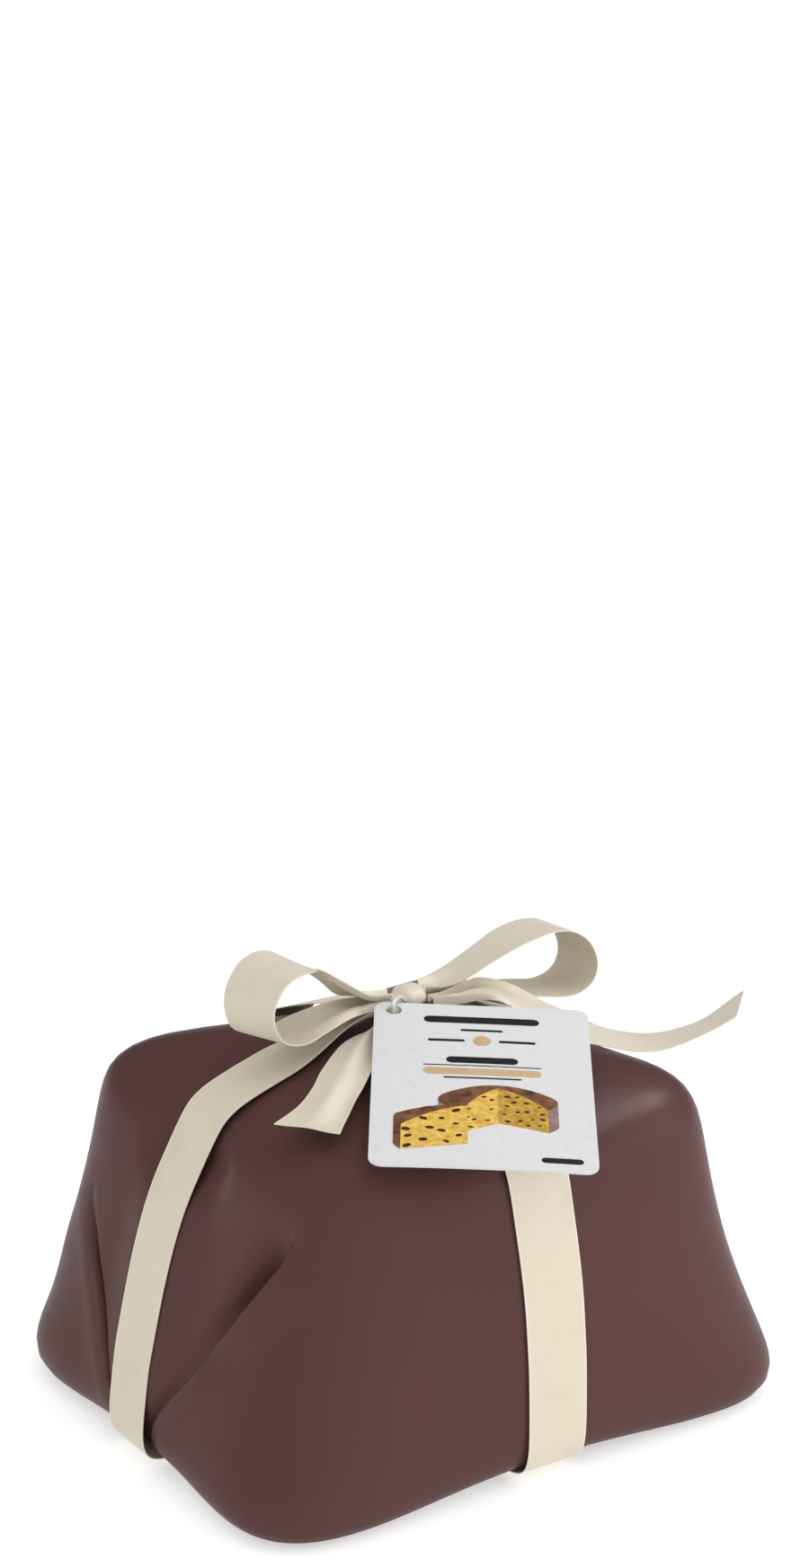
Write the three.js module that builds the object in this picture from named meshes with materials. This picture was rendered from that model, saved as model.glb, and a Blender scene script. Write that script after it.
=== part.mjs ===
import * as THREE from 'three';
import { mergeVertices } from 'three/addons/utils/BufferGeometryUtils.js';

// Gift-wrapped panettone, millimetres, +Z up, origin at the middle of the underside.
// Long faces look along -Y and +Y, the folded end faces along -X and +X.

// ---- sizes that drive the part
const paperThick = 0.9;
const ribbonWide = 25;
const ribbonThick = 0.6;
const tagWide = 76.6;
const tagLong = 101;
const tagThick = 0.7;
const tagCorner = 5;
const tagHole = 2.8;           // radius
const tagHoleAt = [7, 5];
const cordThick = 1.5;
const loafRadius = 87.5;
const loafTop = 104;
const caseHigh = 58;
const boardRadius = 87;
const knotAt = new THREE.Vector3(4, 3, 151.5);
const across = 52;             // columns round the paper

// height, half length, half width, squareness, corner out, corner up, lift at mid sides
const paperRings = [
  [143, 0.01, 0.01, 2.2, 0, 0, 0],
  [143, 14, 14, 2.2, 0, 0, 0],
  [139, 36, 35, 3.0, 0, 0, 0],
  [132.5, 58, 56, 3.6, 0, 2, 0],
  [125, 76, 74, 4.4, 0, 6, 0],
  [117, 88, 86, 5.0, 0, 7, 0],
  [102, 92, 89, 5.4, -1, 3, 0],
  [80, 97.5, 93, 5.6, -2, 0, 0],
  [54, 105, 96.5, 5.8, -2, 0, 0],
  [30, 111.5, 99, 6.0, 1.6, 0, 0.5],
  [12, 116.5, 100, 6.2, 5.2, 0, 2.0],
  [0.2, 113, 95, 6.2, 6.4, 0, 5.2],
  [-1.2, 101, 85, 6.0, 2.2, 0, 4.1],
  [2.6, 80, 66, 5.0, 0, 0, 0.4],
  [2.9, 46, 36, 5.0, 0, 0, 0],
];

const smooth = (a, b, v) => {
  const k = Math.min(1, Math.max(0, (v - a) / (b - a)));
  return k * k * (3 - 2 * k);
};

// uniform cubic B-spline through a list of number rows, t in 0..1
function bSpline(rows, t) {
  const last = rows.length - 1;
  const u = Math.min(t, 1 - 1e-9) * last;
  const i = Math.floor(u);
  const f = u - i;
  const w = [(1 - f) ** 3, 3 * f ** 3 - 6 * f * f + 4, -3 * f ** 3 + 3 * f * f + 3 * f + 1, f ** 3];
  const row = (k) => {
    if (k < 0) return rows[1].map((v, n) => (n === 0 ? v : 2 * rows[0][n] - v));
    if (k > last) return rows[last].map((v, n) => 2 * v - rows[last - 1][n]);
    return rows[k];
  };
  return rows[0].map((_, n) => w.reduce((s, wk, k) => s + wk * row(i - 1 + k)[n], 0) / 6);
}

// the folded ends: the panel between the two folded-in corners sits deeper than they do
function endFold(p) {
  const far = smooth(75, 95, Math.abs(p.x));
  const crease = 14 + 54 * p.z / 106;
  const soft = 3 + 10 * smooth(30, 110, p.z);
  const inside = 1 - smooth(crease - soft, crease + soft, Math.abs(p.y));
  const deep = 6.5 * smooth(112, 60, p.z) * smooth(3, 26, p.z);
  return far * inside * deep * Math.sign(p.x);
}

function paperPoint(t, phi, folded = true) {
  const [z, a, b, n, out, up, lift] = bSpline(paperRings, t);
  const A = Math.max(a, 0.01);
  const B = Math.max(b, 0.01);
  const c = Math.cos(phi);
  const s = Math.sin(phi);
  let r = (Math.abs(c / A) ** n + Math.abs(s / B) ** n) ** (-1 / n);
  const toCorner = Math.atan2(Math.abs(s), Math.abs(c)) - Math.atan2(B, A);
  const near = Math.exp(-((toCorner / 0.33) ** 2));
  const wide = Math.exp(-((toCorner / 0.5) ** 2));
  r += out * near;
  // the far left corner is a little fuller than the others
  if (c < 0 && s > 0) r += 3.2 * near * smooth(130, 112, z) * smooth(25, 60, z);
  const p = new THREE.Vector3(r * c, r * s, Math.max(0, z + up * near + lift * (1 - wide)));
  if (folded) p.x -= endFold(p);
  // the tight strap presses the shoulder in
  const press = 5.6 * Math.exp(-(((p.z - 113) / 12) ** 2) - (p.y / 24) ** 4);
  p.x -= Math.sign(p.x) * press * smooth(55, 85, Math.abs(p.x));
  return p;
}

function paperNormal(t, phi, folded = true) {
  const du = 0.004;
  const a = paperPoint(Math.max(0.012, t - du), phi, folded);
  const b = paperPoint(Math.min(1, Math.max(0.012, t - du) + 2 * du), phi, folded);
  const c = paperPoint(Math.max(t, 0.012), phi - 0.03, folded);
  const d = paperPoint(Math.max(t, 0.012), phi + 0.03, folded);
  const n = b.sub(a).cross(d.sub(c)).normalize();
  return t < 0.02 ? new THREE.Vector3(0, 0, 1) : n;
}

// closed body from rings of equal length; ends are fanned shut unless the rings close on themselves
function skin(rings, loop = false) {
  const n = rings[0].length;
  const pts = rings.flat();
  const at = (i, j) => (i % rings.length) * n + (j % n);
  const faces = [];
  for (let i = 0; i < rings.length - (loop ? 0 : 1); i++) {
    for (let j = 0; j < n; j++) {
      faces.push(at(i, j), at(i + 1, j), at(i + 1, j + 1), at(i, j), at(i + 1, j + 1), at(i, j + 1));
    }
  }
  if (!loop) {
    [[0, 1], [rings.length - 1, -1]].forEach(([i, way]) => {
      const mid = rings[i].reduce((s, p) => s.add(p), new THREE.Vector3()).divideScalar(n);
      pts.push(mid);
      for (let j = 0; j < n; j++) {
        const [p, q] = way > 0 ? [at(i, j), at(i, j + 1)] : [at(i, j + 1), at(i, j)];
        faces.push(pts.length - 1, p, q);
      }
    });
  }
  let vol = 0;
  for (let k = 0; k < faces.length; k += 3) {
    const [a, b, c] = [pts[faces[k]], pts[faces[k + 1]], pts[faces[k + 2]]];
    vol += a.dot(new THREE.Vector3().crossVectors(b, c)) / 6;
  }
  if (vol < 0) faces.reverse();
  const geo = new THREE.BufferGeometry();
  geo.setAttribute('position', new THREE.Float32BufferAttribute(pts.flatMap((p) => p.toArray()), 3));
  geo.setIndex(faces);
  return geo;
}

// ---- wrapping paper: outer skin down to the opening underneath, inner skin back up
function wrappingPaper() {
  const outer = [0.02, 0.07, 0.13, 0.19, 0.245, 0.285, 0.32, 0.355, 0.39, 0.43, 0.48, 0.53, 0.575,
    0.615, 0.65, 0.68, 0.705, 0.73, 0.755, 0.785, 0.82, 0.87, 0.93, 1];
  const inner = [1, 0.9, 0.83, 0.775, 0.72, 0.66, 0.6, 0.53, 0.45, 0.37, 0.3, 0.22, 0.1, 0.02];
  const ringAt = (t, deep) => Array.from({ length: across }, (_, j) => {
    const phi = 2 * Math.PI * j / across;
    const p = paperPoint(t, phi);
    return deep ? p.addScaledVector(paperNormal(t, phi), -deep) : p;
  });
  const rings = outer.map((t) => ringAt(t, 0)).concat(inner.map((t) => ringAt(t, paperThick)));
  return skin(rings);
}

// ---- ribbon straps: distance out from the middle and height, from the knot to the middle underneath
const overFront = [
  [0, 146], [9, 146], [17, 146.8], [27, 145.4], [38, 142.1], [50, 137.9], [61, 133.9], [70, 130.2],
  [79, 126.2], [87.2, 117.2], [90.1, 102.5], [94.3, 80], [97.7, 54], [100.2, 30], [101.6, 15], [99.5, 6.5],
  [94, 2.6], [80, 1], [60, 0.3], [0, 0.3],
];
const overEnd = [
  [8.2, 148], [17, 147.9], [28, 145.3], [38, 141.4], [48, 137.7], [58, 134.3], [67, 131.2], [74, 128.2],
  [78.7, 124.8], [81.7, 121], [84.8, 116], [88.2, 110], [91.6, 104], [95, 97], [97.8, 90], [101, 80],
  [105, 65], [108.8, 50], [112.8, 33], [117, 20], [119.3, 11], [117.5, 3.6], [111, 1.6], [98, 1.25],
  [70, 1.25], [0, 1.25],
];

function stripRing(mid, tangent, wideDir, wide, thick) {
  const out = new THREE.Vector3().crossVectors(tangent, wideDir).normalize().multiplyScalar(thick / 2);
  const half = wideDir.clone().normalize().multiplyScalar(wide / 2);
  return [[-1, -1], [0, -1], [1, -1], [1, 1], [0, 1], [-1, 1]].map(([w, o]) =>
    mid.clone().addScaledVector(half, w).addScaledVector(out, o));
}

function strip(mids, dirs, wides, thicks, loop = false) {
  const n = mids.length;
  const rings = mids.map((m, i) => {
    const a = mids[loop ? (i + n - 1) % n : Math.max(i - 1, 0)];
    const b = mids[loop ? (i + 1) % n : Math.min(i + 1, n - 1)];
    return stripRing(m, b.clone().sub(a), dirs[i], wides[i], thicks[i]);
  });
  return skin(rings, loop);
}

function sampleHalf(ctrl, steps) {
  return Array.from({ length: steps + 1 }, (_, i) => bSpline(ctrl, i / steps));
}

const frontDrift = (z) => -2.5 * smooth(85, 118, z) * smooth(146, 130, z) + 1.2 * smooth(10, 50, z);
const sideDrift = (z) => 6 * smooth(6, 40, z) - 2 * smooth(60, 110, z);

function strapFrontToBack() {
  const half = sampleHalf(overFront, 32);
  const front = half.map(([d, z]) => new THREE.Vector3(frontDrift(z), -d, z));
  const back = half.slice(1, -1).reverse().map(([d, z]) => new THREE.Vector3(0, d, z));
  const mids = front.concat(back);
  const dir = mids.map(() => new THREE.Vector3(1, 0, 0));
  const wides = mids.map((p) => ribbonWide - 13 * smooth(45, 8, Math.abs(p.y)) * smooth(60, 120, p.z));
  return strip(mids, dir, wides, mids.map(() => ribbonThick), true);
}

// the strap that is tied: from the knot down one end, under, and up the other end to the knot
function strapSideToSide() {
  const half = sampleHalf(overEnd, 32);
  const left = half.map(([d, z]) => new THREE.Vector3(knotAt.x * smooth(60, 5, d) - d, sideDrift(z), z));
  const right = half.slice(0, -1).reverse().map(([d, z]) => new THREE.Vector3(
    knotAt.x * smooth(60, 5, d) + d, 3 * smooth(120, 140, z), z));
  const mids = left.concat(right);
  const near = mids.map((p) => smooth(52, 10, Math.abs(p.x)) * smooth(60, 120, p.z));
  const wides = near.map((k) => ribbonWide - 15 * k);
  const thicks = near.map((k) => ribbonThick + 0.8 * k * k);
  const dirs = mids.map((p, i) => new THREE.Vector3(0, 1, p.x > 0 ? -0.3 * near[i] * (1 - near[i]) : 0));
  return strip(mids, dirs, wides, thicks);
}

// ---- bow: rows of middle point, direction across the ribbon, width, thickness
function bowStrip(rows, perRow = 3) {
  const n = rows.length - 1;
  const curve = (k) => new THREE.CatmullRomCurve3(rows.map((r) => new THREE.Vector3(...r[k])), false,
    'catmullrom', 0.5);
  const mid = curve(0);
  const dir = curve(1);
  const size = new THREE.CatmullRomCurve3(rows.map((r) => new THREE.Vector3(r[2], r[3], 0)), false,
    'catmullrom', 0.5);
  const ts = Array.from({ length: n * perRow + 1 }, (_, i) => i / (n * perRow));
  const sizes = ts.map((t) => size.getPoint(t));
  return strip(ts.map((t) => mid.getPoint(t)), ts.map((t) => dir.getPoint(t)),
    sizes.map((s) => s.x), sizes.map((s) => s.y));
}

const T = ribbonThick;
const loopRight = [
  [[11.5, 3.2, 153.5], [0, 1, 0.1], 7.4, 1.6],
  [[16, 3, 153.8], [0, 1, 0.1], 11, 1.4],
  [[20, 2.8, 154.6], [0, 1, 0.02], 15, 1.2],
  [[25, 2, 156.4], [0, 1, -0.08], 19, 1.0],
  [[30, 1, 159.1], [0, 1, -0.17], 22.4, 0.8],
  [[36, 0.5, 161.9], [0, 1, -0.19], 24.4, T],
  [[43, 0, 165], [0, 1, -0.16], 25, T],
  [[50, 0, 167.4], [0, 1, -0.1], 25, T],
  [[57, 0, 168.8], [0, 1, -0.08], 25, T],
  [[64, 0, 169.1], [0, 1, -0.07], 25, T],
  [[71, 0, 167.4], [0, 1, -0.04], 25, T],
  [[77.5, 0, 162.5], [0, 1, 0], 25, T],
  [[80.8, 0, 154.2], [0, 1, 0], 25, T],
  [[78, 0, 147], [0, 1, 0], 25, T],
  [[69, 0, 143.9], [0, 1, 0], 25, T],
  [[55, 0.5, 146], [0, 1, 0], 24, T],
  [[40, 1.5, 148.6], [0, 1, 0], 20, T],
  [[27, 3.5, 150.2], [0, 1, 0], 14, 1.0],
  [[11.6, 4.8, 150.5], [0, 1, 0], 6.6, 1.4],
];
const loopLeft = [
  [[-3.1, 4, 153.7], [0, 1, 0], 7.6, 1.8],
  [[-13, 4, 155.2], [0.1, 0.9, -0.1], 12, 1.4],
  [[-24, 3, 160.5], [0.35, 0.8, -0.48], 18, 0.8],
  [[-35, 0, 168.5], [0.4, 0.8, -0.4], 24, T],
  [[-46, 0, 174.8], [-0.1, 1, 0.06], 25, T],
  [[-56, 0, 173.2], [-0.2, 1, 0.12], 25, T],
  [[-62.2, 0, 165.4], [-0.26, 1, 0.04], 25, T],
  [[-63, 0, 157], [-0.25, 1, -0.04], 25, T],
  [[-59, 0, 149.6], [-0.25, 1, -0.04], 25, T],
  [[-50, 0, 147.4], [-0.2, 1, -0.05], 25, T],
  [[-38, 1, 149.8], [0, 1, 0], 22, T],
  [[-24, 3, 151.4], [0, 1, 0], 15, 1.0],
  [[-14, 4, 151], [0, 1, 0], 10, 1.4],
  [[-3.4, 4.5, 150.6], [0, 1, 0], 7, 1.6],
];
const tailRight = [
  [[11.2, -3.6, 150.8], [0, 1, 0], 4, 1.2],
  [[16, -5.2, 151], [0, 1, 0.05], 6, 1.1],
  [[21, -7, 151.8], [0, 1, 0.1], 9, 1.0],
  [[25.5, -9, 153.1], [0, 1, 0.15], 11.5, 0.8],
  [[31, -12, 153.5], [0, 1, 0.22], 16.5, T],
  [[37, -15.3, 150.8], [0, 1, 0.4], 19.5, T],
  [[43, -18.8, 147.2], [0, 1, 0.52], 21.6, T],
  [[49, -21.8, 143.5], [0, 1, 0.5], 22.2, T],
  [[55, -24.2, 140.1], [0, 1, 0.42], 22.5, T],
  [[61, -25.3, 137.4], [0, 1, 0.34], 23, T],
  [[67, -25.3, 134.8], [0, 1, 0.27], 23.6, T],
  [[73, -24.5, 131.9], [0, 1, 0.22], 24.5, T],
  [[79, -22.8, 128.9], [0, 1, 0.17], 25, T],
  [[88, -20, 124.9], [0, 1, 0.1], 25, T],
  [[100, -15.5, 120.6], [0, 1, 0.02], 25, T],
  [[110, -14.3, 118.9], [0, 1, -0.1], 25, T],
  [[120, -13.5, 118.4], [0, 1, -0.22], 25.4, T],
  [[130, -13, 118.9], [0.08, 1, -0.3], 26, T],
  [[140, -12.8, 120.5], [0.4, 1, -0.3], 28, T],
  [[152, -12.8, 125.2], [0.7, 0.7, -0.03], 35, T],
];
const tailFront = [
  [[-2.6, -3, 148.9], [0.3, -0.95, 0], 5, 1.4],
  [[-9, -5.5, 146.6], [0.25, -0.97, 0], 6.6, 1.2],
  [[-14.5, -8.6, 145.8], [0.25, -0.97, 0], 10, 1],
  [[-21, -12.4, 145.2], [0.22, -0.97, -0.02], 14, 0.8],
  [[-28, -17.4, 144.8], [0.28, -0.96, -0.02], 16.6, T],
  [[-36, -24.5, 144], [0.28, -0.96, -0.02], 18.5, T],
  [[-47, -34.6, 142.5], [0.3, -0.95, -0.02], 19.5, T],
  [[-55, -42.1, 141.3], [0.33, -0.94, -0.02], 18.6, T],
  [[-62.6, -48.8, 140], [0.44, -0.9, -0.02], 18.8, T],
  [[-69, -53.7, 139.1], [0.5, -0.87, -0.02], 20.5, T],
  [[-76, -58.3, 138], [0.61, -0.79, -0.02], 23.5, T],
];

// the knot: a flat pillow with a wrap groove over it
function bowKnot() {
  const rings = [];
  for (let i = 1; i < 10; i++) {
    const v = -Math.PI / 2 + Math.PI * i / 10;
    rings.push(Array.from({ length: 20 }, (_, j) => {
      const u = 2 * Math.PI * j / 20;
      const groove = 1 - 0.12 * Math.exp(-((Math.sin(v) * 7.2 / 2.2) ** 2));
      return new THREE.Vector3(7.2 * Math.sin(v), 6.8 * Math.cos(v) * Math.cos(u) * groove,
        4.2 * Math.cos(v) * Math.sin(u) * groove).add(knotAt);
    }));
  }
  return skin(rings);
}

// ---- tag: its own plane, short edge at the knot
const tagAt = new THREE.Vector3(-12.5, -2.5, 154);
const tagTurn = THREE.MathUtils.degToRad(-34.5);
const tagSlope = THREE.MathUtils.degToRad(12.5);
const tagRoll = THREE.MathUtils.degToRad(2.4);
const tagDown = new THREE.Vector3(Math.sin(tagTurn) * Math.cos(tagSlope),
  -Math.cos(tagTurn) * Math.cos(tagSlope), -Math.sin(tagSlope));
const flatAcross = new THREE.Vector3(Math.cos(tagTurn), Math.sin(tagTurn), 0);
const tagAcross = flatAcross.clone().multiplyScalar(Math.cos(tagRoll)).addScaledVector(
  new THREE.Vector3().crossVectors(flatAcross, tagDown), Math.sin(tagRoll));
const tagUp = new THREE.Vector3().crossVectors(tagDown, tagAcross).normalize();
const onTag = (x, y, h = 0) => tagAt.clone().addScaledVector(tagAcross, x)
  .addScaledVector(tagDown, y).addScaledVector(tagUp, h);

function hangTag() {
  const r = tagCorner;
  const s = new THREE.Shape();
  s.moveTo(r, 0);
  s.lineTo(tagWide - r, 0);
  s.absarc(tagWide - r, r, r, -Math.PI / 2, 0);
  s.lineTo(tagWide, tagLong - r);
  s.absarc(tagWide - r, tagLong - r, r, 0, Math.PI / 2);
  s.lineTo(r, tagLong);
  s.absarc(r, tagLong - r, r, Math.PI / 2, Math.PI);
  s.lineTo(0, r);
  s.absarc(r, r, r, Math.PI, 1.5 * Math.PI);
  const hole = new THREE.Path();
  hole.absarc(...tagHoleAt, tagHole, 0, 2 * Math.PI, true);
  s.holes.push(hole);
  const g = new THREE.ExtrudeGeometry(s, { depth: tagThick, bevelEnabled: false, curveSegments: 7 });
  const m = new THREE.Matrix4().makeBasis(tagAcross, tagDown, tagUp.clone().negate());
  m.setPosition(onTag(0, 0, tagThick / 2));
  return g.applyMatrix4(m);
}

// cord: from the knot, down through the hole and back up under the ribbon
function tagCord() {
  const pts = [
    new THREE.Vector3(0, -3.8, 153.2),
    new THREE.Vector3(-2.4, -4.8, 155.2),
    new THREE.Vector3(-6.6, -7.9, 155.9),
    new THREE.Vector3(-9.6, -10, 154.9),
    onTag(7, 4.8, 0.9),
    onTag(7, 5.3, -1.4),
    onTag(8.2, 3.4, -2.4),
    onTag(10.5, 0.6, -2.9),
    new THREE.Vector3(2, -5, 148.6),
  ];
  const path = new THREE.CatmullRomCurve3(pts, false, 'centripetal');
  const circle = new THREE.Shape();
  circle.absarc(0, 0, cordThick / 2, 0, 2 * Math.PI);
  return new THREE.ExtrudeGeometry(circle,
    { steps: 30, extrudePath: path, bevelEnabled: false, curveSegments: 4 });
}

// ---- what the parcel holds
function lathe(profile, round = 36) {
  const pts = profile.concat([profile[0]]).map(([r, z]) => new THREE.Vector2(r, z));
  return new THREE.LatheGeometry(pts, round).rotateX(Math.PI / 2);
}

function loaf() {
  const R = loafRadius;
  return lathe([[0, 8.7], [R - 4.6, 8.7], [R, 13.6], [R, 64], [R + 1.4, 71], [R + 0.6, 79], [R - 7, 88],
    [R - 24, 97], [R - 50, loafTop - 2.5], [0, loafTop]]);
}

function bakingCase() {
  const R = loafRadius + 0.4;
  return lathe([[0, 7.7], [R - 3.4, 7.7], [R + 0.6, 12.6], [R + 0.6, caseHigh], [R, caseHigh],
    [R, 13.2], [R - 4, 8.3], [0, 8.3]]);
}

function foodBag() {
  const R = loafRadius + 2.9;
  const out = [[0, 6.8], [R - 2, 6.8], [R, 12], [R, 78], [R - 7, 91], [R - 26, 101], [R - 54, 107.5],
    [12, 110], [5.2, 115], [5.2, 121], [9, 127], [15, 136.5]];
  const back = [[14.4, 136.5], [8.4, 127.2], [4.6, 121.2], [4.6, 114.6], [11.6, 109.4], [R - 54.2, 106.9],
    [R - 26.4, 100.4], [R - 7.5, 90.5], [R - 0.5, 77.8], [R - 0.5, 12.3], [R - 2.4, 7.3], [0, 7.3]];
  return lathe(out.concat(back));
}

function bagTie() {
  return new THREE.TorusGeometry(6.6, 1, 6, 20).translate(0, 0, 118);
}

function cakeBoard() {
  return lathe([[0, 5], [boardRadius, 5], [boardRadius, 6.4], [0, 6.4]], 48);
}

// ---- the group
const group = new THREE.Group();
group.name = 'gift_wrapped_panettone';

function add(name, geometry, color, roughness, metalness = 0) {
  let g = geometry;
  g.deleteAttribute('normal');
  g.deleteAttribute('uv');
  g = mergeVertices(g, 1e-4);
  g.computeVertexNormals();
  const mesh = new THREE.Mesh(g, new THREE.MeshStandardMaterial({ color, roughness, metalness }));
  mesh.name = name;
  group.add(mesh);
}

add('wrapping_paper', wrappingPaper(), 0x5d4341, 0.6);
add('ribbon_front_to_back', strapFrontToBack(), 0xe0d8c3, 0.5);
add('ribbon_side_to_side', strapSideToSide(), 0xe0d8c3, 0.5);
add('bow_knot', bowKnot(), 0xe3dac6, 0.5);
add('bow_loop_left', bowStrip(loopLeft), 0xe3dac6, 0.5);
add('bow_loop_right', bowStrip(loopRight), 0xe3dac6, 0.5);
add('bow_tail_front', bowStrip(tailFront), 0xe3dac6, 0.5);
add('bow_tail_right', bowStrip(tailRight), 0xe3dac6, 0.5);
add('hang_tag', hangTag(), 0xe4e4e2, 0.75);
add('tag_cord', tagCord(), 0xf4f3ee, 0.45);
add('panettone_loaf', loaf(), 0x8a5226, 0.8);
add('baking_case', bakingCase(), 0x6b4a36, 0.8);
add('food_bag', foodBag(), 0xdfe6e8, 0.15);
add('bag_tie', bagTie(), 0xb89a5a, 0.4);
add('cake_board', cakeBoard(), 0xc9a227, 0.5);

export default group;
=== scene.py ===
import bmesh
import bpy
import math
import numpy as np
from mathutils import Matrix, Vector


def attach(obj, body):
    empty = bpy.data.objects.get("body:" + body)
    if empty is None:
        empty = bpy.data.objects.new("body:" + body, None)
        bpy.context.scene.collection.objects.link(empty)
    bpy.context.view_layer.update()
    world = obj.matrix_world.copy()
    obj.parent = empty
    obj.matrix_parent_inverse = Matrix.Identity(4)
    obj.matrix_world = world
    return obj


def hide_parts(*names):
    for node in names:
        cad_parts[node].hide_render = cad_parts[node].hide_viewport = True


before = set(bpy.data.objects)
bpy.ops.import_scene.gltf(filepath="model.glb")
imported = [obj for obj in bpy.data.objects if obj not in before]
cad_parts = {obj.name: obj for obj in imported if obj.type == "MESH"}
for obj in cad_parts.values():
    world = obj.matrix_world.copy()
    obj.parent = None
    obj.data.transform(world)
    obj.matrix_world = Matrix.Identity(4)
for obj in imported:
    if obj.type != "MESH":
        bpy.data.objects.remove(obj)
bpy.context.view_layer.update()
print("parcel frame loaded")

mm = 0.001

# camera and light first
eye = {"turn": -33.6, "tilt": 24.1, "distance": 0.998, "aimHeight": 0.060,
       "lens": 60.74, "shiftX": 0.003, "shiftY": 0.285}


def placeCamera(e):
    turn = math.radians(e["turn"])
    tilt = math.radians(e["tilt"])
    back = Vector((math.sin(turn) * math.cos(tilt), -math.cos(turn) * math.cos(tilt), math.sin(tilt)))
    cam = bpy.data.objects.new("viewCamera", bpy.data.cameras.new("viewCamera"))
    bpy.context.scene.collection.objects.link(cam)
    cam.location = Vector((0, 0, e["aimHeight"])) + back * e["distance"]
    cam.rotation_euler = (-back).to_track_quat("-Z", "Y").to_euler()
    cam.data.lens = e["lens"]
    cam.data.shift_x = e["shiftX"]
    cam.data.shift_y = e["shiftY"]
    cam.data.clip_start = 0.01
    bpy.context.scene.camera = cam


placeCamera(eye)

lighting = {
    "backdrop": 1.06,
    "skyLight": 0.97,
    "skySheen": 0.06,
    "lamps": [
        # name, place, aim, size, watts, gives gloss only
        ("keySoft", (1.00, -0.95, 0.55), (0, 0, 0.06), 0.8, 7.0, False),
        ("topSoft", (0.25, -0.35, 1.40), (0, 0, 0.1), 1.2, 3.0, False),
        ("shoulderSoft", (0.62, -0.18, 0.92), (0.06, -0.08, 0.125), 0.42, 12.0, True),
    ],
}


def lightTheTable(l):
    world = bpy.data.worlds.new("studio")
    bpy.context.scene.world = world
    world.use_nodes = True
    sky = world.node_tree.nodes["Background"]
    sky.inputs["Color"].default_value = (1.0, 1.0, 1.0, 1.0)
    # the backdrop is brighter than the light it gives, and its mirror image is kept low
    rays = world.node_tree.nodes.new("ShaderNodeLightPath")
    last = None
    for ray, seen in (("Is Camera Ray", l["backdrop"]), ("Is Glossy Ray", l["skySheen"])):
        add = world.node_tree.nodes.new("ShaderNodeMath")
        add.operation = "MULTIPLY_ADD"
        add.inputs[1].default_value = seen - l["skyLight"]
        add.inputs[2].default_value = l["skyLight"]
        world.node_tree.links.new(rays.outputs[ray], add.inputs[0])
        if last is not None:
            world.node_tree.links.new(last.outputs[0], add.inputs[2])
        last = add
    world.node_tree.links.new(last.outputs[0], sky.inputs["Strength"])
    for name, place, aim, size, watts, sheenOnly in l["lamps"]:
        lamp = bpy.data.lights.new(name, "AREA")
        lamp.size = size
        lamp.energy = watts
        ob = bpy.data.objects.new(name, lamp)
        bpy.context.scene.collection.objects.link(ob)
        ob.location = place
        ob.visible_diffuse = not sheenOnly
        ob.rotation_euler = (Vector(aim) - Vector(place)).to_track_quat("-Z", "Y").to_euler()
    bpy.context.scene.view_settings.view_transform = "Standard"


lightTheTable(lighting)


# finishes
def newFinish(name, roughness, specular=0.5):
    mat = bpy.data.materials.new(name)
    mat.use_nodes = True
    tree = mat.node_tree
    shader = tree.nodes["Principled BSDF"]
    shader.inputs["Roughness"].default_value = roughness
    shader.inputs["Specular IOR Level"].default_value = specular
    return mat, tree, shader


def addNode(tree, kind, **settings):
    node = tree.nodes.new(kind)
    for key, value in settings.items():
        if key in node.inputs:
            node.inputs[key].default_value = value
        else:
            setattr(node, key, value)
    return node


def objectPlace(tree, stretch=(1, 1, 1)):
    place = addNode(tree, "ShaderNodeTexCoord")
    fit = addNode(tree, "ShaderNodeMapping")
    fit.inputs["Scale"].default_value = stretch
    tree.links.new(place.outputs["Object"], fit.inputs["Vector"])
    return fit.outputs["Vector"]


def noiseAt(tree, vector, scale, detail=2.0, rough=0.5):
    node = addNode(tree, "ShaderNodeTexNoise")
    node.inputs["Scale"].default_value = scale
    node.inputs["Detail"].default_value = detail
    node.inputs["Roughness"].default_value = rough
    tree.links.new(vector, node.inputs["Vector"])
    return node.outputs["Fac"]


def rampOf(tree, value, stops):
    node = addNode(tree, "ShaderNodeValToRGB")
    ramp = node.color_ramp
    while len(ramp.elements) > len(stops):
        ramp.elements.remove(ramp.elements[-1])
    while len(ramp.elements) < len(stops):
        ramp.elements.new(1.0)
    for element, (spot, colour) in zip(ramp.elements, stops):
        element.position = spot
        element.color = (*colour, 1.0)
    tree.links.new(value, node.inputs["Fac"])
    return node.outputs["Color"]


def bumpOn(tree, height, strength, distance, under=None):
    node = addNode(tree, "ShaderNodeBump")
    node.inputs["Strength"].default_value = strength
    node.inputs["Distance"].default_value = distance
    tree.links.new(height, node.inputs["Height"])
    if under is not None:
        tree.links.new(under, node.inputs["Normal"])
    return node.outputs["Normal"]


def grey(v):
    return (v, v, v)


paperLook = {"dark": (0.0850, 0.0392, 0.0372), "light": (0.0935, 0.0435, 0.0412), "cloud": 7.0,
             "fibre": 1500.0, "mottle": 95.0, "roughness": 0.38, "rough": (0.34, 0.40), "shine": 0.06}


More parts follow.
